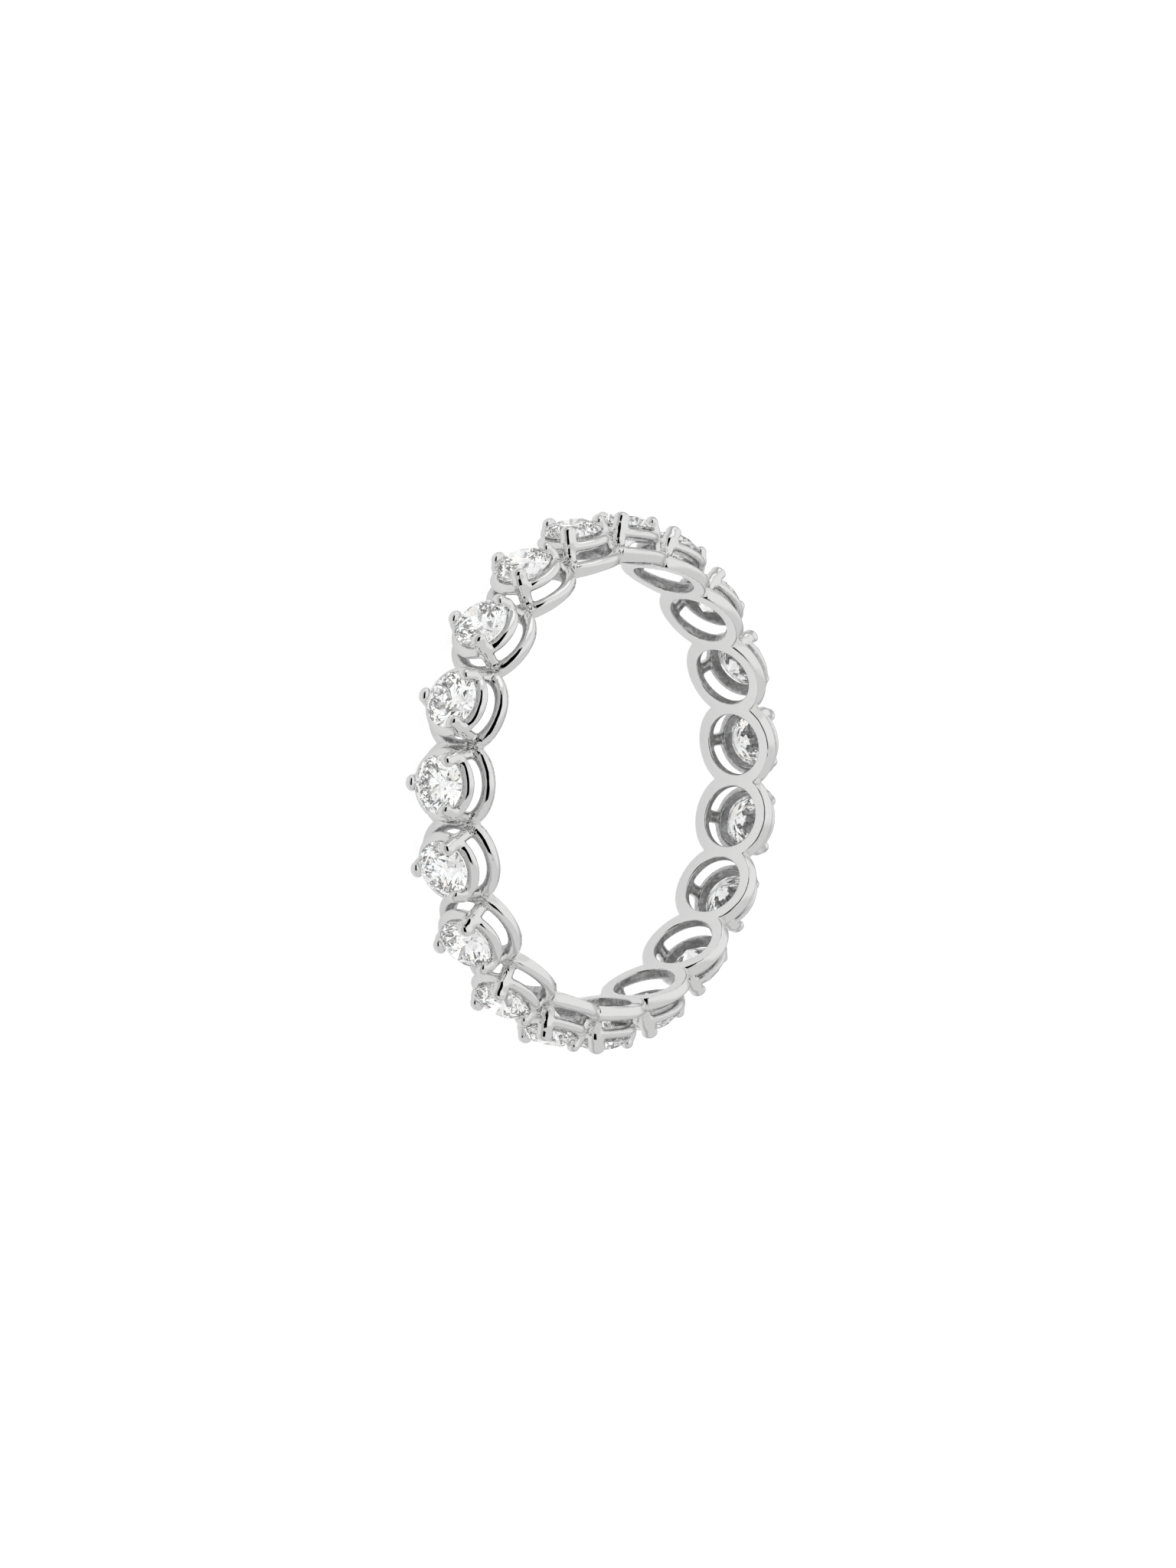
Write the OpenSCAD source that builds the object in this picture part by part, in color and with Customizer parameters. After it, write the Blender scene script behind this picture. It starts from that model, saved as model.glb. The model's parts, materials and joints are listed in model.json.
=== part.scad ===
// Eternity ring: a full circle of round stones, each in a claw setting of its own.
// The ring lies on its side. Its axis is Z, and the edge that it lies on is at Z = 0.
// Every setting is a wide base ring against the finger, a smaller basket ring under the
// stone and three prongs. The base rings run into their neighbours and are soldered there,
// so all of the metal is one solid. All lengths are in millimetres.

/* [Ring] */
// Inside diameter, across the finger hole
finger_d = 17.2; // [15:0.1:21]

/* [Stones] */
// Diameter of a stone at its girdle
stone_d = 2.25; // [2:0.05:2.6]
// Width of the table, from corner to corner
table_w = 1.28; // [1.1:0.01:1.4]
// Height of the crown, from the girdle to the table
crown_h = 0.35; // [0.28:0.01:0.42]
// Thickness of the girdle
girdle_t = 0.04; // [0.02:0.01:0.08]
// Depth of the pavilion, from the girdle to its point
pavilion_h = 0.96; // [0.85:0.01:1.05]
// Clear gap between a stone and its metal
stone_gap = 0.03; // [0.02:0.005:0.05]

/* [Base rings] */
// How far the base ring reaches outside the basket ring
base_step = 0.42; // [0.3:0.01:0.55]
// Width of the base ring's rim
base_rim_w = 0.61; // [0.5:0.01:0.75]
// Height of the base ring, from the finger to its crest
base_h = 0.54; // [0.45:0.01:0.7]
// How far neighbouring base rings run into each other
base_overlap = 0.79; // [0.6:0.01:0.9]

/* [Basket rings] */
// How far the basket ring reaches outside the stone
basket_lip = 0.27; // [0.2:0.01:0.35]
// Wall of the basket ring
basket_wall = 0.36; // [0.3:0.01:0.45]
// Height of the basket ring
basket_h = 0.48; // [0.35:0.01:0.6]
// Width of the bearing cut into its inner edge, which the stone sits over
bearing_w = 0.03; // [0.02:0.01:0.08]
// Open height between the base ring and the basket ring
basket_gap = 0.25; // [0.15:0.01:0.4]

/* [Prongs] */
// Diameter of a prong
prong_d = 0.56; // [0.45:0.01:0.65]
// Height of the prong tips above the table
prong_over = 0.05; // [0:0.01:0.12]
// How far the middle of a prong tip stands outside the girdle
prong_tip_out = 0.01; // [-0.05:0.01:0.05]
// How far a prong's foot reaches into the rim of the base ring, at its middle
prong_foot_in = 0.04; // [0:0.01:0.1]
// Height of a prong's foot above the finger
prong_foot_z = 0.12; // [0.05:0.01:0.2]

/* [Hidden] */
// Round surfaces are drawn with this many sides, and the finger hole with more because it is large
$fn = 96;
finger_sides = 360;
// A cut goes this far past the metal that it opens
past = 0.2;
// A rounded crest has a radius this much larger than half its width, so it meets its sides at a slight angle
crest_ease = 1.08;
// Share of a crown or pavilion facet's length at which the star and the lower facets meet
star_share = 0.5;
lower_share = 0.78;
// Main facets round a stone, and the angle from one to the next
mains = 8;
facet_a = 360 / mains;
// Each stone is turned about its own axis by this much more than the one before it
stone_turn = 17;
// Prongs of a setting, as angles about its axis from the edge that the ring lies on
prong_angles = [0, 120, 240];

finger_r = finger_d / 2;
stone_r = stone_d / 2;
table_r = table_w / 2;
basket_r = stone_r + basket_lip;
basket_in_r = basket_r - basket_wall;
base_r = basket_r + base_step;
base_in_r = base_r - base_rim_w;

// Settings round the ring, as many as the finger hole has room for
pitch = 2 * base_r - base_overlap;
count = round(PI * finger_d / pitch);
step_a = 360 / count;

// Heights along a setting's own axis, from the finger surface outwards
basket_z = base_h + basket_gap;
basket_top = basket_z + basket_h;
pavilion_slope = pavilion_h / stone_r;
crown_slope = crown_h / (stone_r - table_r);
pavilion_lift = stone_gap * norm([1, pavilion_slope]);
crown_lift = stone_gap * norm([1, crown_slope]);
girdle_z = basket_top + (stone_r - basket_in_r - bearing_w) * pavilion_slope + pavilion_lift;
girdle_top = girdle_z + girdle_t;
table_z = girdle_top + crown_h;
prong_top = table_z + prong_over;
// Two cones clear the stone by its gap, and meet in a sharp notch outside the girdle
room_r = stone_r + (girdle_t + pavilion_lift + crown_lift) / (pavilion_slope + crown_slope);
room_z = girdle_z - pavilion_lift + (room_r - stone_r) * pavilion_slope;
// The finger surface falls away by this much under the edge of a base ring
base_drop = finger_r - sqrt(pow(finger_r, 2) - pow(base_r, 2));

function stone_name(i) = str("stone_", i < 9 ? "0" : "", i + 1);

// A ring of points at radius r and height z, starting at angle a
function facet_ring(r, z, n, a = 0) =
    [for (k = [0:n - 1]) [r * cos(a + k * 360 / n), r * sin(a + k * 360 / n), z]];

// Stands what follows on the finger surface at setting i, with its own Z axis pointing outwards
module at_setting(i) {
    rotate([0, 0, i * step_a])
        translate([finger_r, 0, base_r])
            rotate([0, 90, 0])
                children();
}

// Outline of a rim of width w and height h with a rounded crest, from radius 0 outwards
module crested(w, h) {
    crest_r = w / 2 * crest_ease;
    square([w, h - crest_r]);
    intersection() {
        square([w, h]);
        translate([w / 2, h - crest_r])
            circle(crest_r);
    }
}

// The wide ring that lies against the finger, with its crest turned outwards
module base_ring() {
    foot = base_drop + past;
    rotate_extrude()
        translate([base_in_r, -foot])
            crested(base_rim_w, foot + base_h);
}

// The small ring under the stone, rounded on its outside
module basket_ring() {
    round_r = basket_h / 2 * crest_ease;
    rotate_extrude()
        translate([basket_in_r, basket_z])
            intersection() {
                square([basket_wall, basket_h]);
                union() {
                    square([basket_wall - round_r, basket_h]);
                    translate([basket_wall - round_r, basket_h / 2])
                        circle(round_r);
                }
            }
}

// A round wire with a domed tip, which leans in from the base ring to the edge of the stone
module prong() {
    prong_r = prong_d / 2;
    dome_r = prong_r * crest_ease;
    tip = [stone_r + prong_tip_out, prong_top - dome_r];
    foot = [base_in_r + prong_foot_in, prong_foot_z];
    lean = atan2(foot[0] - tip[0], tip[1] - foot[1]);
    len = norm(tip - foot);
    translate([foot[0], 0, foot[1]])
        rotate([0, -lean, 0])
            rotate_extrude() {
                square([prong_r, len]);
                translate([0, len])
                    intersection() {
                        square([prong_r, dome_r]);
                        circle(dome_r);
                    }
            }
}

// The wedge of the ring that belongs to one setting, from the ring's axis outwards
module sector() {
    reach = finger_r + prong_top + past;
    half_w = reach * tan(step_a / 2);
    translate([-base_r - past, 0, -finger_r])
        rotate([90, 0, 90])
            linear_extrude(2 * (base_r + past))
                polygon([[0, 0], [half_w, reach], [-half_w, reach]]);
}

// Room for a stone and its gap: the bearing cut into the basket ring and the notch in each prong
module stone_room() {
    rotate_extrude()
        polygon([
            [0, room_z - room_r * pavilion_slope],
            [room_r, room_z],
            [table_r, room_z + (room_r - table_r) * crown_slope],
            [table_r, prong_top + past],
            [0, prong_top + past]
        ]);
}

// One stone's base ring, basket ring and prongs, cut off where its neighbours begin
module one_setting() {
    difference() {
        union() {
            intersection() {
                base_ring();
                sector();
            }
            basket_ring();
            for (a = prong_angles)
                rotate([0, 0, a])
                    prong();
        }
        stone_room();
    }
}

// All of the metal, with the finger hole through it
module setting() {
    color("silver")
        difference() {
            for (i = [0:count - 1])
                at_setting(i)
                    one_setting();
            translate([0, 0, -past])
                cylinder(r = finger_r, h = 2 * (base_r + past), $fn = finger_sides);
        }
}

// A round brilliant: table, eight stars, eight kites and sixteen upper facets over the girdle,
// and sixteen lower facets and eight mains under it
module brilliant() {
    half = facet_a / 2;
    star_r = table_r * cos(half) + star_share * (stone_r - table_r * cos(half));
    star_z = girdle_top + (stone_r - star_r * cos(half)) * crown_slope;
    lower_r = stone_r * (1 - lower_share);
    lower_z = girdle_z - (stone_r - lower_r * cos(half)) * pavilion_slope;
    points = concat(
        facet_ring(table_r, table_z, mains),
        facet_ring(star_r, star_z, mains, half),
        facet_ring(stone_r, girdle_top, 2 * mains),
        facet_ring(stone_r, girdle_z, 2 * mains),
        facet_ring(lower_r, lower_z, mains, half),
        [[0, 0, girdle_z - pavilion_h]]
    );
    star = mains;
    upper = 2 * mains;
    under = 4 * mains;
    lower = 6 * mains;
    culet = 7 * mains;
    faces = concat(
        [[for (k = [mains - 1:-1:0]) k]],
        [for (k = [0:mains - 1]) let (n = (k + 1) % mains, g = 2 * k, h = (2 * k + 2) % (2 * mains)) each [
            [k, n, star + k],
            [n, star + n, upper + h, star + k],
            [star + k, upper + g + 1, upper + g],
            [star + k, upper + h, upper + g + 1],
            [lower + k, under + g, under + g + 1],
            [lower + k, under + g + 1, under + h],
            [culet, lower + k, under + h, lower + n],
        ]],
        [for (k = [0:2 * mains - 1]) let (n = (k + 1) % (2 * mains))
            [upper + k, upper + n, under + n, under + k]]
    );
    polyhedron(points, faces);
}

module stone(i) {
    color("white")
        at_setting(i)
            rotate([0, 0, i * stone_turn])
                brilliant();
}

setting();
for (i = [0:count - 1])
    stone(i);
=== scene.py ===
import json
import math

import bmesh
import bpy
import numpy as np
import openvdb
from mathutils import Matrix, Vector


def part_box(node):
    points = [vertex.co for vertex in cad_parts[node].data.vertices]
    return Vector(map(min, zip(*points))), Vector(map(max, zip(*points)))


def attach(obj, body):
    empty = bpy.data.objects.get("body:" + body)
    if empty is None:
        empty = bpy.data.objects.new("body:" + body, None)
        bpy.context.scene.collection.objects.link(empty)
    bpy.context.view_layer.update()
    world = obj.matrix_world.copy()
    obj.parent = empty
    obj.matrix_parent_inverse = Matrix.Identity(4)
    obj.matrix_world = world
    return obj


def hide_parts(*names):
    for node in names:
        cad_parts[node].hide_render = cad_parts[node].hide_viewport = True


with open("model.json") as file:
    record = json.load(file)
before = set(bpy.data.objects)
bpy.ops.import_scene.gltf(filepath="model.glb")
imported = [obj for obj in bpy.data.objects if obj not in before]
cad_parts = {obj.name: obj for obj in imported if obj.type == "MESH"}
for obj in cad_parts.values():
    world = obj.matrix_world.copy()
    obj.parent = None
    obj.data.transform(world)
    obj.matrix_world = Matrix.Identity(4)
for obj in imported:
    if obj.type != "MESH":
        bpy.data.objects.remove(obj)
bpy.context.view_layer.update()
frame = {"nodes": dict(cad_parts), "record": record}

# The camera stands far off, 38 degrees above the floor that the ring lies on, and is rolled so that the
# finger hole stands upright in the picture. It stands a little to the left of the ring's middle.
stone_nodes = sorted(name for name in frame["nodes"] if name.startswith("stone_"))
stone_low, stone_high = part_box(stone_nodes[0])
band_middle = (stone_low.z + stone_high.z) / 2
picture_right = Vector((0.6117, -0.0538, 0.7893))
picture_up = Vector((0.1727, 0.9827, -0.0668))
picture_back = picture_right.cross(picture_up)
camera_back, camera_left, camera_down = 0.4227, 0.000445, 0.000072
camera_at = Vector((0, 0, band_middle))
camera_at += camera_back * picture_back - camera_left * picture_right - camera_down * picture_up

camera = bpy.data.objects.new("camera", bpy.data.cameras.new("camera"))
camera.data.sensor_width = 36
camera.data.lens = 251.1
camera.data.clip_start = 0.01
turned = Matrix((picture_right, picture_up, picture_back)).transposed().to_4x4()
camera.matrix_world = Matrix.Translation(camera_at) @ turned
bpy.context.scene.collection.objects.link(camera)
bpy.context.scene.camera = camera

# The metal is cast and soldered white gold, polished outside and left satin inside the base rings, where its
# colour is also darker as painted shade. Each stone has a wide base ring against the finger, a smaller basket
# ring under it and three prongs that are pressed over its edge. The base rings run into their neighbours, and
# solder fills the corners there.
mm = 0.001
count = len(stone_nodes)
step = math.tau / count
half_step = step / 2
finger_r = frame["record"]["mounts"][0]["dims"]["r_mm"]

# Half of the first setting is shaped as a distance field in millimetres, with the stone's axis along X
# and the finger's along Z. It ends in the plane of the joint, and is mirrored and turned further down.
junction_normal = np.array([-math.sin(half_step), math.cos(half_step), 0])
other_normal = np.array([math.sin(half_step), math.cos(half_step), 0])
junction_out = np.array([math.cos(half_step), math.sin(half_step), 0])

# Sizes of the stone, for the room that the metal leaves it. Heights run from the finger outwards.
stone_r = (stone_high.y - stone_low.y) / 2 / mm
table_r, crown_h, girdle_t, pavilion_h = 0.64, 0.35, 0.04, 0.96
girdle_up = stone_low.x / mm - finger_r + pavilion_h
table_up = stone_high.x / mm - finger_r
pavilion_slope = pavilion_h / stone_r
crown_slope = crown_h / (stone_r - table_r)
stone_gap, seat_edge, finger_edge = 0.012, 0.02, 0.08

# The base ring's section has a bevel towards its outer edge, one towards the stone and a round underside.
# Each is a point, as distance from the stone's axis and height, the lean of the face through that point
# in degrees, and how far the edge beside it is rounded.
base_in, base_out, base_h, base_round, base_foot = 1.205, 1.815, 0.54, 0.17, -1.0
outer_bevel, inner_bevel = (1.70, 0.465, 35, 0.10), (1.335, 0.42, -42, 0.12)
underside = (1.72, 0.0, 125, 0.24)
joint_lap, joint_fillet = 0.02, 0.04
basket_in, basket_wall, basket_h, basket_up = 1.035, 0.375, 0.48, 1.03
basket_edge, basket_fillet = 0.05, 0.10

# A prong is a flat rod with these half thicknesses, wider than it is thick. It runs from foot to knee to
# tip, each a distance from the stone's axis and a height, and bends over the stone at its knee.
foot_r, knee_r, tip_r, prong_widen = 0.19, 0.20, 0.24, 1.32
prong_over, knee_out, knee_under, tip_in = 0.11, 0.12, 0.12, 0.02
prong_top = table_up + prong_over
prong_foot = (1.40, 0.40)
prong_knee = (stone_r + knee_out, girdle_up - knee_under)
prong_tip = (stone_r - tip_in, prong_top - tip_r)
knee_fillet, prong_fillet = 0.16, 0.08

# A blob of solder lies on each joint where two prongs stand beside it, a little wider than it is high.
solder_z, solder_up, solder_r, solder_fillet = 0.62, 0.42, 0.14, 0.16
solder_across, solder_along = 1.2, 1.3


def soft_min(a, b, k):
    """The smaller of two distances, with a fillet of about width k where they cross."""
    h = np.clip(0.5 + 0.5 * (b - a) / k, 0, 1)
    return b + (a - b) * h - k * h * (1 - h)


def soft_max(a, b, k):
    """The larger of two distances, with an edge rounded over about width k where they cross."""
    return -soft_min(-a, -b, k)


def slab(u, v, u0, u1, v0, v1, r):
    """Distance to a rectangle with corners rounded to radius r."""
    du = np.abs(u - (u0 + u1) / 2) - (u1 - u0) / 2 + r
    dv = np.abs(v - (v0 + v1) / 2) - (v1 - v0) / 2 + r
    return np.hypot(np.maximum(du, 0), np.maximum(dv, 0)) + np.minimum(np.maximum(du, dv), 0) - r


def cut_by(d, u, v, face):
    """Distance d, cut off by a face whose normal leans from v towards u, with a rounded edge."""
    u0, v0, lean, edge = face
    past = (u - u0) * math.sin(math.radians(lean)) + (v - v0) * math.cos(math.radians(lean))
    return soft_max(d, past, edge)


def oval(u, v, a, b):
    """Distance to an ellipse with half axes a and b."""
    k0 = np.hypot(u / a, v / b)
    k1 = np.hypot(u / a ** 2, v / b ** 2)
    return k0 * (k0 - 1) / np.maximum(k1, 1e-9)


def rod(p, start, end, start_r, end_r, side):
    """Distance to a rod that grows from start_r to end_r, and is wider along side."""
    axis = end - start
    t = np.clip(((p - start) @ axis) / (axis @ axis), 0, 1)
    off = p - start - t[..., None] * axis
    off = off - ((off @ side) * (1 - 1 / prong_widen))[..., None] * side
    return np.linalg.norm(off, axis=-1) - (start_r + (end_r - start_r) * t)


def prong(p, turn):
    """Distance to a prong, turned round the stone from the edge that the ring lies on."""
    to_z, to_y = -math.cos(math.radians(turn)), math.sin(math.radians(turn))
    side = np.array([0, to_z, -to_y])
    foot, knee, tip = (
        np.array([finger_r + up, out * to_y, out * to_z]) for out, up in (prong_foot, prong_knee, prong_tip)
    )
    stem = rod(p, foot, knee, foot_r, knee_r, side)
    bent = rod(p, knee, tip, knee_r, tip_r, side)
    return soft_min(stem, bent, knee_fillet)


def one_setting(p):
    """Distance to a base ring, basket ring and prongs."""
    up = p[..., 0] - finger_r
    out = np.hypot(p[..., 1], p[..., 2])
    above_finger = np.hypot(p[..., 0], p[..., 1]) - finger_r
    base = slab(out, up, base_in, base_out, base_foot, base_h, base_round)
    base = cut_by(base, out, up, outer_bevel)
    base = cut_by(base, out, up, inner_bevel)
    base = cut_by(base, out, above_finger, underside)
    # It ends a little past the middle of its joints, so that the openings stay round
    base = np.maximum(base, np.maximum(p @ junction_normal, -p @ other_normal) - joint_lap)
    basket = oval(out - basket_in, up - basket_up, basket_wall, basket_h / 2)
    basket = soft_max(basket, basket_in - out, basket_edge)
    # The prong at -120 degrees mirrors the one at 120
    folded = p * np.array([1, 0, 1]) + np.abs(p) * np.array([0, 1, 0])
    prongs = np.minimum(prong(folded, 0), prong(folded, 120))
    return soft_min(base, soft_min(basket, prongs, prong_fillet), basket_fillet)


def metal(p):
    """Distance to all of the metal near the first setting and its neighbour."""
    to_junction = p @ junction_normal
    neighbour = p - (2 * to_junction)[..., None] * junction_normal
    d = soft_min(one_setting(p), one_setting(neighbour), joint_fillet)
    across, along = to_junction / solder_across, (p[..., 2] - solder_z) / solder_along
    blob = np.sqrt(across ** 2 + along ** 2 + (p @ junction_out - finger_r - solder_up) ** 2)
    d = soft_min(d, blob - solder_r, solder_fillet)
    # Two cones leave room for the stone, and the finger hole is cut last
    out = np.hypot(p[..., 1], p[..., 2]) - stone_r
    up = p[..., 0] - finger_r - girdle_up
    below = (out * pavilion_slope - up) / math.hypot(1, pavilion_slope)
    above = (out * crown_slope + up - girdle_t) / math.hypot(1, crown_slope)
    d = soft_max(d, stone_gap - np.maximum(below, above), seat_edge)
    return soft_max(d, finger_r - np.hypot(p[..., 0], p[..., 1]), finger_edge)


def slope(p):
    """Gradient of the distance, which is the surface's normal."""
    e = 0.002
    g = np.stack([metal(p + e * axis) - metal(p - e * axis) for axis in np.eye(3)], -1)
    return g / (2 * e)


def flatten(v, mid, joint):
    """Lays the vectors of the two cuts into their planes."""
    v[mid, 1] = 0
    v[joint] -= (v[joint] @ junction_normal)[:, None] * junction_normal


# The field is sampled in cells of this size, with these margins round the half, and its surface is cut
# off at the middle of the setting and at the joint.
cell, margin, side_margin, inner_margin = 0.04, 0.1, 0.12, 0.2
reach = finger_r + prong_top
low = np.array([finger_r * math.cos(half_step) - inner_margin, -side_margin, -base_out - margin])
high = np.array([reach + margin, reach * math.tan(half_step) + side_margin, base_out + margin])
ticks = [low[i] + cell * np.arange(math.ceil((high[i] - low[i]) / cell) + 1) for i in range(3)]
field = metal(np.stack(np.meshgrid(*ticks, indexing="ij"), -1))
grid = openvdb.FloatGrid(background=1.0)
grid.copyFromArray(field.astype(np.float32))
corners, triangles, quads = grid.convertToPolygons(isovalue=0, adaptivity=0)
bm = bmesh.new()
for corner in corners * cell + low:
    bm.verts.new(corner)
bm.verts.ensure_lookup_table()
for face in list(quads) + list(triangles):
    bm.faces.new([bm.verts[int(k)] for k in face])
for normal in (Vector((0, -1, 0)), Vector(junction_normal)):
    geom = bm.verts[:] + bm.edges[:] + bm.faces[:]
    bmesh.ops.bisect_plane(bm, geom=geom, dist=1e-4, plane_co=(0, 0, 0), plane_no=normal, clear_outer=True)
bmesh.ops.triangulate(bm, faces=bm.faces[:])
rough_half = bpy.data.meshes.new("rough_half")
bm.to_mesh(rough_half)
bm.free()

# The half is thinned to this many faces, and its points are moved back onto the surface. Those on the
# two cuts stay in their planes, where the halves meet.
half_faces = 5200
rough = bpy.data.objects.new("rough", rough_half)
bpy.context.scene.collection.objects.link(rough)
rough.modifiers.new("fewer", "DECIMATE").ratio = half_faces / len(rough_half.polygons)
half = bpy.data.meshes.new_from_object(rough.evaluated_get(bpy.context.evaluated_depsgraph_get()))
bpy.data.objects.remove(rough)
points = np.array([vertex.co for vertex in half.vertices])
faces = np.array([polygon.vertices[:] for polygon in half.polygons])
edges = np.sort(np.concatenate([faces[:, [0, 1]], faces[:, [1, 2]], faces[:, [2, 0]]]), axis=1)
edges, uses = np.unique(edges, axis=0, return_counts=True)
on_cut = np.zeros(len(points), bool)
on_cut[edges[uses == 1]] = True
mid = on_cut & (np.abs(points[:, 1]) < np.abs(points @ junction_normal))
joint = on_cut & ~mid
for _ in range(4):
    gradient = slope(points)
    flatten(gradient, mid, joint)
    points = points - (metal(points) / np.maximum((gradient ** 2).sum(-1), 1e-4))[:, None] * gradient
    flatten(points, mid, joint)
normals = slope(points)
flatten(normals, mid, joint)
normals /= np.linalg.norm(normals, axis=1)[:, None]


def fade(value, start, end):
    """0 before start, 1 past end and a smooth step between them."""
    t = np.clip((value - start) / (end - start), 0, 1)
    return t * t * (3 - 2 * t)


def from_joint(z, height, stretch):
    """Distance from a place on the joint, shorter along the finger's axis by stretch."""
    return np.sqrt(to_junction ** 2 + ((points[:, 2] - z) / stretch) ** 2 + (up - height) ** 2)


# The metal is satin where it faces the stone's axis, out to the base ring's crest and up to the basket
# ring's, and under the basket ring, and there its colour is darker as painted shade. It is polished again
# next to the finger.
out = np.hypot(points[:, 1], points[:, 2])
up = points[:, 0] - finger_r
above_finger = np.hypot(points[:, 0], points[:, 1]) - finger_r
to_junction = np.abs(points @ junction_normal)
satin_out, satin_top, satin_under, under_share = 1.56, 1.24, 1.1, 0.7
inward = -(normals[:, 1] * points[:, 1] + normals[:, 2] * points[:, 2]) / np.maximum(out, 1e-6)
satin = fade(inward, 0.12, 0.4) * fade(above_finger, 0.0, 0.06) * fade(satin_out - out, 0, 0.1)
satin *= 1 - fade(up, satin_top, satin_top + 0.08)
under = fade(-normals[:, 0], 0.2, 0.7) * fade(above_finger, 0.3, 0.5) * fade(satin_under - up, 0, 0.1)
satin = np.maximum(satin, under_share * under)
# The solder's skin is coarse round the blob beside two prongs, and weaker at the joint's other end.
coarse_up, coarse_r, coarse_edge = 0.45, 0.48, 0.22
weak_z, weak_up, weak_along, weak_r, weak_edge, weak_share = -0.35, 0.5, 1.8, 0.42, 0.3, 0.25
coarse = fade(coarse_r - from_joint(solder_z, coarse_up, solder_along), 0, coarse_edge)
weak = fade(weak_r - from_joint(weak_z, weak_up, weak_along), 0, weak_edge)
solder = np.maximum(coarse, weak_share * weak) * fade(above_finger, 0.1, 0.25)

# The half and its mirror image are turned round the finger, and share the points of their cuts.
per_half = len(points)
numbers = np.arange(per_half)
flip = np.array([1, -1, 1])
ring_points, ring_normals, ring_faces = [], [], []
for i in range(count):
    cos_turn, sin_turn = math.cos(i * step), math.sin(i * step)
    turn = np.array([[cos_turn, sin_turn, 0], [-sin_turn, cos_turn, 0], [0, 0, 1]])
    ring_points += [points @ turn, (points * flip) @ turn]
    ring_normals += [normals @ turn, (normals * flip) @ turn]
    plus = 2 * i * per_half + numbers
    minus = plus + per_half
    minus[mid] = plus[mid]
    minus[joint] = (2 * ((i - 1) % count) * per_half + numbers)[joint]
    ring_faces += [plus[faces], minus[faces[:, ::-1]]]
used, ring_faces = np.unique(np.concatenate(ring_faces), return_inverse=True)
ring_points = np.concatenate(ring_points)[used] * mm + np.array([0, 0, band_middle])
ring_normals = np.concatenate(ring_normals)[used]
ring_mesh = bpy.data.meshes.new("metal")
ring_mesh.from_pydata(ring_points.tolist(), [], ring_faces.reshape(-1, 3).tolist())
for name, values in (("satin", satin), ("solder", solder)):
    attribute = ring_mesh.attributes.new(name, "FLOAT", "POINT")
    attribute.data.foreach_set("value", np.tile(values, 2 * count)[used].astype(np.float32))
ring_mesh.update()
ring_mesh.shade_smooth()
ring_mesh.normals_split_custom_set_from_vertices(ring_normals.tolist())
ring = bpy.data.objects.new("metal", ring_mesh)
bpy.context.scene.collection.objects.link(ring)
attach(ring, "root")
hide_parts("setting")


class Socket:
    """An output of a shader node. Arithmetic on sockets adds Math nodes to their tree."""

    def __init__(self, tree, output=None):
        self.tree, self.output = tree, output

    def node(self, kind, settings=None, inputs=None, output=0):
        """Adds a node with settings and inputs, which are sockets or values, and returns its output."""
        made = self.tree.nodes.new(kind)
        for name, value in (settings or {}).items():
            setattr(made, name, value)
        for name, value in (inputs or {}).items():
            if isinstance(value, Socket):
                self.tree.links.new(value.output, made.inputs[name])
            else:
                made.inputs[name].default_value = value
        return Socket(self.tree, made.outputs[output])

    def math(self, operation, *values):
        """A Math node on sockets or numbers."""
        return self.node("ShaderNodeMath", {"operation": operation}, dict(enumerate(values)))

    def __add__(self, other):
        return self.math("ADD", self, other)

    def __sub__(self, other):
        return self.math("SUBTRACT", self, other)

    def __mul__(self, other):
        return self.math("MULTIPLY", self, other)

    def __rsub__(self, other):
        return self.math("SUBTRACT", other, self)

    __radd__ = __add__
    __rmul__ = __mul__

    def rise(self, low, high):
        """0 below low, 1 above high and a smooth step between them."""
        values = {"Value": self, "From Min": low, "From Max": high}
        return self.node("ShaderNodeMapRange", {"interpolation_type": "SMOOTHSTEP"}, values)

    def dot(self, direction):
        """How far this socket's vector goes along a direction."""
        values = {0: self, 1: tuple(direction)}
        return self.node("ShaderNodeVectorMath", {"operation": "DOT_PRODUCT"}, values, "Value")

    def length(self):
        return self.node("ShaderNodeVectorMath", {"operation": "LENGTH"}, {0: self}, "Value")

    def noise(self, scale, detail):
        """Noise in the space of this socket's vector."""
        values = {"Vector": self, "Scale": scale, "Detail": detail, "Roughness": 0.5}
        return self.node("ShaderNodeTexNoise", None, values)

    def blend(self, colour_a, colour_b):
        """colour_a where this socket is 0, and colour_b where it is 1."""
        # A Mix node takes its two colours at inputs 6 and 7, and gives the mixed one at output 2
        values = {0: self, 6: colour_a, 7: colour_b}
        return self.node("ShaderNodeMix", {"data_type": "RGBA"}, values, 2)

    def drive(self, socket):
        """Links this output to a socket of a material or world."""
        self.tree.links.new(self.output, socket)


def grey(value):
    return (value, value, value, 1)


def new_material(name, **constants):
    """A material's surface, with the constants set on its own sockets, and a Socket to add nodes with."""
    material = bpy.data.materials.new(name)
    material.use_nodes = True
    surface = material.node_tree.nodes["Principled BSDF"]
    for socket, value in constants.items():
        surface.inputs[socket.replace("_", " ")].default_value = value
    return material, surface, Socket(material.node_tree)


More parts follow.
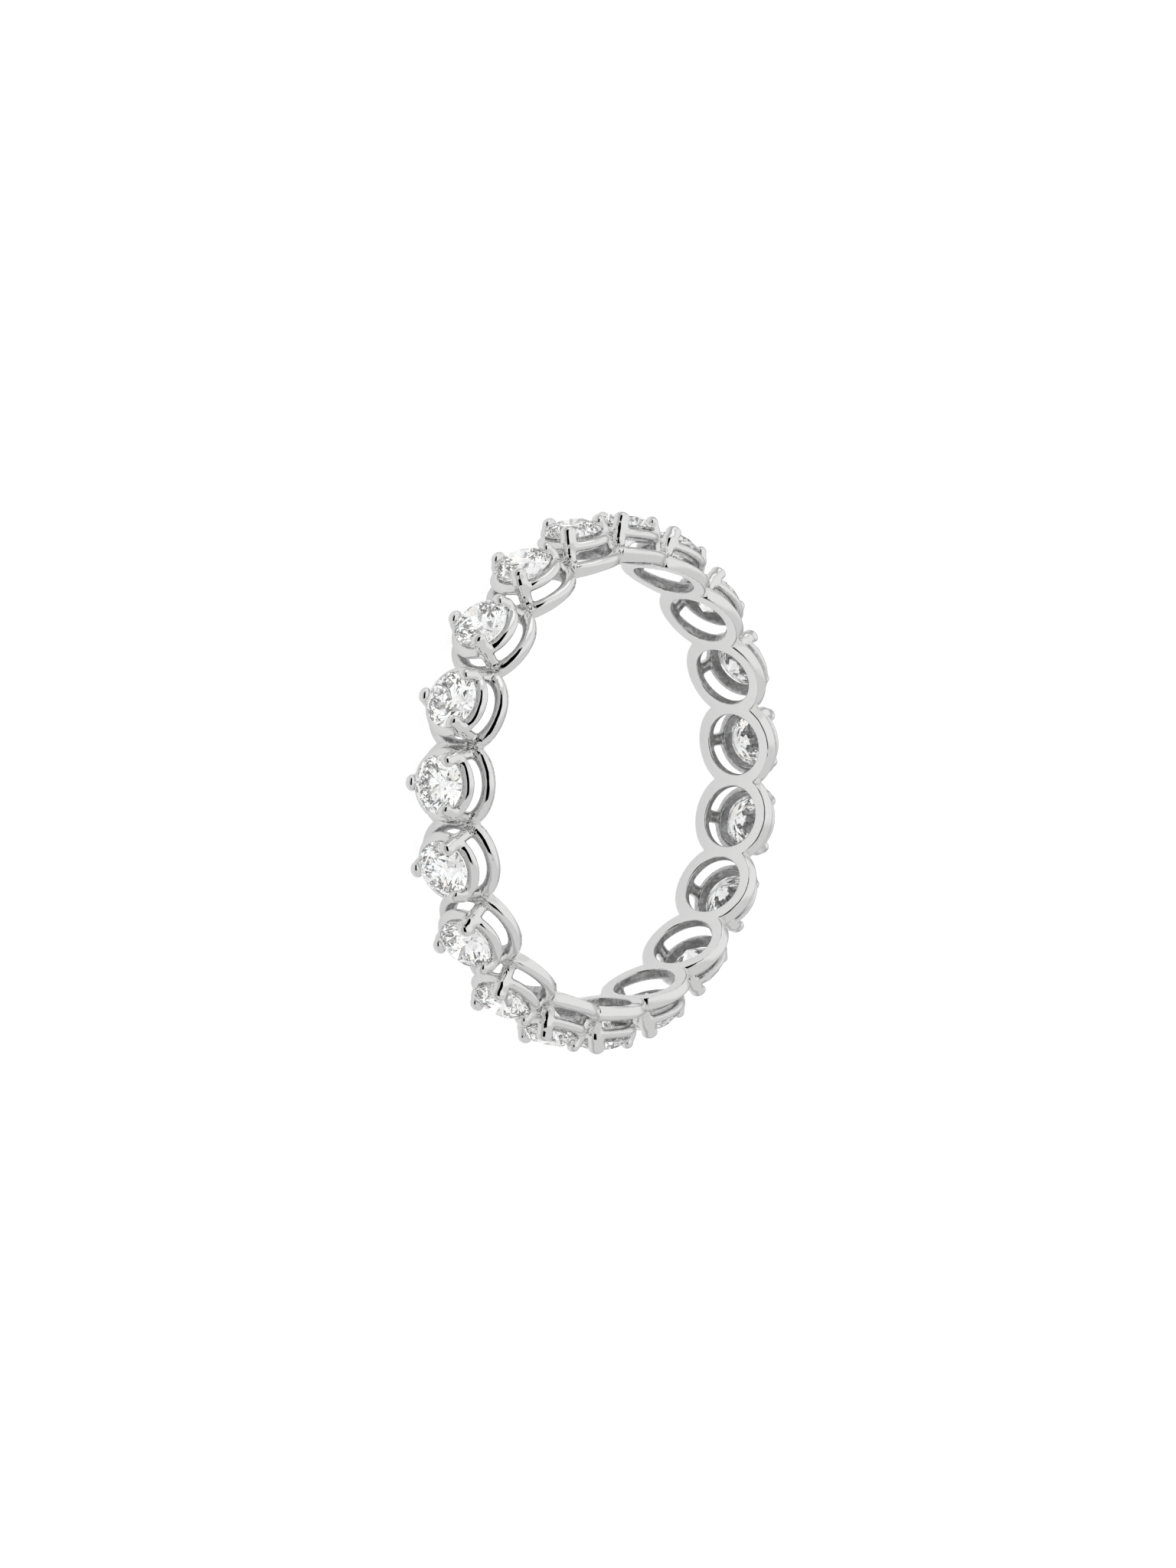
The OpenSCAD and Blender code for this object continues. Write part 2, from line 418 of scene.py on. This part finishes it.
# The satin's grit is about 0.14 mm across, the solder's spots 0.3 mm and the waves in the polish 0.7 mm.
grit_scale, spot_scale, wave_scale = 7000, 3500, 1500
polished = (0.89, 0.89, 0.885, 1)
# The satin greys are painted shade: darker than the polish where the hollows and the basket ring's underside
# lie in shade, with a random speckle.
satin_shade_dark, satin_shade_light = grey(0.48), grey(0.66)
solder_dark, solder_light = grey(0.50), (0.88, 0.88, 0.87, 1)
polish_rough, satin_rough, solder_rough = 0.05, 0.25, 0.06
satin_grit, wave_share, bump_depth = 0.25, 0.5, 0.08 * mm
gold, surface, shop = new_material("white_gold", Metallic=1)
where = shop.node("ShaderNodeTexCoord", output="Object")
satin_and_shade_mask = shop.node("ShaderNodeAttribute", {"attribute_name": "satin"}, output="Fac")
solder_mask = shop.node("ShaderNodeAttribute", {"attribute_name": "solder"}, output="Fac")
grit = where.noise(grit_scale, 2)
waves = where.noise(wave_scale, 1)
speckle = grit.rise(0.42, 0.62)
rough_spots = solder_mask * where.noise(spot_scale, 2).rise(0.35, 0.6)
# Painted shade: where the metal is satin, its colour turns to the darker speckled greys.
colour = satin_and_shade_mask.blend(polished, speckle.blend(satin_shade_dark, satin_shade_light))
colour = rough_spots.blend(colour, speckle.blend(solder_dark, solder_light))
colour.drive(surface.inputs["Base Color"])
roughness = polish_rough + satin_and_shade_mask * satin_rough + rough_spots * solder_rough
roughness.drive(surface.inputs["Roughness"])
height = grit * (satin_grit * satin_and_shade_mask + rough_spots) + wave_share * waves
relief = {"Height": height, "Distance": bump_depth, "Strength": 1.0}
bump = shop.node("ShaderNodeBump", None, relief, "Normal")
bump.drive(surface.inputs["Normal"])
ring_mesh.materials.append(gold)

# The stones are round brilliants, held in their seats by the prongs. Each facet is a flat cut through a
# round blank, as it is ground on the real stone. The thin girdle round the stone's edge stays round and
# matt. Each stone is turned about its own axis by a little more than the one before it.
facets = 8
half_facet = math.pi / facets
star_share, lower_share = 0.5, 0.78


def at(r, angle, z):
    """A point at a radius, angle and height about the stone's axis."""
    return Vector((r * math.cos(angle), r * math.sin(angle), z))


def face_through(a, b, c):
    """A point and the outward normal of the facet through three points."""
    normal = (b - a).cross(c - a).normalized()
    if normal.dot(a - at(0, 0, girdle_t / 2)) < 0:
        normal.negate()
    return a, normal


# Heights run from the lower edge of the girdle. The table is cut first, then eight times round: a kite
# and a star of the crown, a main of the pavilion, and two upper and two lower facets.
stone_table = girdle_t + crown_h
culet = at(0, 0, -pavilion_h)
flat_r = table_r * math.cos(half_facet)
star_r = flat_r + star_share * (stone_r - flat_r)
star_z = girdle_t + (stone_r - star_r * math.cos(half_facet)) * crown_slope
lower_r = stone_r * (1 - lower_share)
lower_z = -(stone_r - lower_r * math.cos(half_facet)) * pavilion_slope
cuts = [(at(0, 0, stone_table), Vector((0, 0, 1)))]
for k in range(facets):
    main = k * 2 * half_facet
    between = main + half_facet
    corner, next_corner = at(table_r, main, stone_table), at(table_r, main + 2 * half_facet, stone_table)
    star, girdle = at(star_r, between, star_z), at(stone_r, main, girdle_t)
    along_girdle = at(0.1, main + math.pi / 2, 0)
    lower, last_lower = at(lower_r, between, lower_z), at(lower_r, between - 2 * half_facet, lower_z)
    cuts.append(face_through(corner, girdle, girdle + along_girdle))
    cuts.append(face_through(corner, next_corner, star))
    cuts.append(face_through(culet, last_lower, lower))
    for beside in (between - half_facet, between + half_facet):
        cuts.append(face_through(star, at(stone_r, between, girdle_t), at(stone_r, beside, girdle_t)))
        cuts.append(face_through(lower, at(stone_r, between, 0), at(stone_r, beside, 0)))

girdle_sides, spare = 96, 0.2
bm = bmesh.new()
blank_h = pavilion_h + stone_table + spare
centre = Matrix.Translation((0, 0, (stone_table - pavilion_h) / 2))
bmesh.ops.create_cone(
    bm, cap_ends=True, segments=girdle_sides, radius1=stone_r, radius2=stone_r, depth=blank_h, matrix=centre
)
for point, normal in cuts:
    geom = bm.verts[:] + bm.edges[:] + bm.faces[:]
    made = bmesh.ops.bisect_plane(bm, geom=geom, dist=1e-5, plane_co=point, plane_no=normal, clear_outer=True)
    rim = [edge for edge in made["geom_cut"] if isinstance(edge, bmesh.types.BMEdge) and edge.is_boundary]
    if len(rim) > 2:
        bmesh.ops.contextual_create(bm, geom=rim)
bmesh.ops.recalc_face_normals(bm, faces=bm.faces[:])
bmesh.ops.scale(bm, vec=(mm, mm, mm), verts=bm.verts[:])
brilliant = bpy.data.meshes.new("brilliant")
bm.to_mesh(brilliant)
bm.free()

diamond, surface, shop = new_material("diamond", Transmission_Weight=1, IOR=2.42)
where = shop.node("ShaderNodeTexCoord", output="Object")
height = shop.node("ShaderNodeSeparateXYZ", None, {0: where}, "Z")
edge, matt_rough = 0.02, 0.3
girdle_band = height.rise(-edge * mm, 0.0) * (1 - height.rise(girdle_t * mm, (girdle_t + edge) * mm))
matt = girdle_band * where.length().rise((stone_r - edge) * mm, (stone_r - edge / 4) * mm)
(matt * matt_rough).drive(surface.inputs["Roughness"])
brilliant.materials.append(diamond)

stone_turn = math.radians(17)
seat_at = ((finger_r + girdle_up) * mm, 0, band_middle)
seat = Matrix.Translation(seat_at) @ Matrix.Rotation(math.pi / 2, 4, "Y")
for i, node in enumerate(stone_nodes):
    stone = bpy.data.objects.new(f"brilliant_{i + 1:02d}", brilliant)
    bpy.context.scene.collection.objects.link(stone)
    stone.matrix_world = Matrix.Rotation(i * step, 4, "Z") @ seat @ Matrix.Rotation(i * stone_turn, 4, "Z")
    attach(stone, "root")
    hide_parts(node)

# The floor is a pale sheet, two metres wide, that glows as painted light: evenly to the camera and through
# the stones, so that it is all but shadowless, and as a painted reflection in the metal, pale inside the ring
# and dark further off than 20 mm from its axis.
floor_reach = 1
near_ring, away_from_ring = 0.010, 0.020
floor_near_glow, floor_away_glow, floor_glow = grey(0.42), grey(0.05), grey(0.76)
floor_corners = [(x * floor_reach, y * floor_reach, 0) for x, y in ((-1, -1), (1, -1), (1, 1), (-1, 1))]
floor_mesh = bpy.data.meshes.new("floor")
floor_mesh.from_pydata(floor_corners, [], [(0, 1, 2, 3)])
floor = bpy.data.objects.new("floor", floor_mesh)
bpy.context.scene.collection.objects.link(floor)
pale, surface, shop = new_material("pale", Base_Color=grey(0.60), Roughness=1, Emission_Strength=1)
direct = shop.node("ShaderNodeLightPath", output="Is Camera Ray")
through = shop.node("ShaderNodeLightPath", output="Is Transmission Ray")
distance = shop.node("ShaderNodeTexCoord", output="Object").length()
# Painted reflection: the glow that the metal mirrors, pale near the ring and dark far off.
mirrored_glow = distance.rise(near_ring, away_from_ring).blend(floor_near_glow, floor_away_glow)
glow = shop.math("MAXIMUM", direct, through).blend(mirrored_glow, floor_glow)
glow.drive(surface.inputs["Emission Color"])
floor_mesh.materials.append(pale)

# The studio is an even white surround with a lamp overhead, a little darker below, beyond the ring and on
# the camera's left. A dark upright gap beside the camera is mirrored by the polished metal as thin dark
# lines. Seen through a stone it is narrower, and the light is stronger and faintly warm and cool.
world = bpy.data.worlds.new("studio")
bpy.context.scene.world = world
world.use_nodes = True
shop = Socket(world.node_tree)
way = shop.node("ShaderNodeTexCoord", output="Generated")
through = shop.node("ShaderNodeLightPath", output="Is Transmission Ray")
to_right, to_up, to_back = way.dot(picture_right), way.dot(picture_up), way.dot(picture_back)
azimuth = shop.math("ARCTAN2", to_right, to_back)


def upright_gap(middle, half_width):
    """1 in a gap at this azimuth and of this half width, in degrees."""
    aside = shop.math("ABSOLUTE", azimuth - math.radians(middle))
    return 1 - aside.rise(math.radians(half_width - 1), math.radians(half_width + 1))


# Azimuths are in degrees from the camera to the right. Heights are shares of the way up the picture,
# from -1 to 1, and each edge is as soft as its two heights are apart.
mirrored_gap, seen_gap, seen_share = (-12, 16), (-5, 8), 0.95
gap_foot, gap_top = (-0.46, -0.42), (0.77, 0.80)
gap = upright_gap(*mirrored_gap) * (1 - through) + seen_share * upright_gap(*seen_gap) * through
gap = to_up.rise(*gap_foot) * (1 - to_up.rise(*gap_top)) * gap
beyond_ring = (0 - to_back).rise(0.45, 0.80) * to_up.rise(-0.75, -0.40)
left = way.dot((picture_back - picture_right + 0.2 * picture_up).normalized()).rise(0.75, 0.92)
lamp, lamp_rim, low_wall, wall_rise = 0.32, 0.12, 0.66, 0.18
dark_beyond, dark_left, stone_light, stone_rise = 0.38, 0.30, 1.45, 0.27
overhead = lamp * to_up.rise(0.88, 0.94) - lamp_rim * to_up.rise(0.72, 0.80)
around = low_wall + wall_rise * to_up.rise(-0.35, 0.05) + overhead
around = around * (1 - dark_beyond * beyond_ring) * (1 - dark_left * left)
in_stones = stone_light + stone_rise * to_up.rise(-0.12, 0.30)
light = (around * (1 - through) + in_stones * through) * (1 - gap)
warm, cool = (1.0, 0.94, 0.86, 1), (0.90, 0.96, 1.0, 1)
flecks_round, flecks_up = 9, 11
flecks = (shop.math("SINE", azimuth * flecks_round) + shop.math("SINE", to_up * flecks_up)) * 0.25 + 0.5
background = world.node_tree.nodes["Background"]
light.drive(background.inputs["Strength"])
through.blend(grey(1), flecks.blend(warm, cool)).drive(background.inputs["Color"])
bpy.context.scene.view_settings.view_transform = "Standard"

# Light is followed far enough into the stones to find its way out again.
bpy.context.scene.cycles.max_bounces = 24
bpy.context.scene.cycles.glossy_bounces = 16
bpy.context.scene.cycles.transmission_bounces = 24
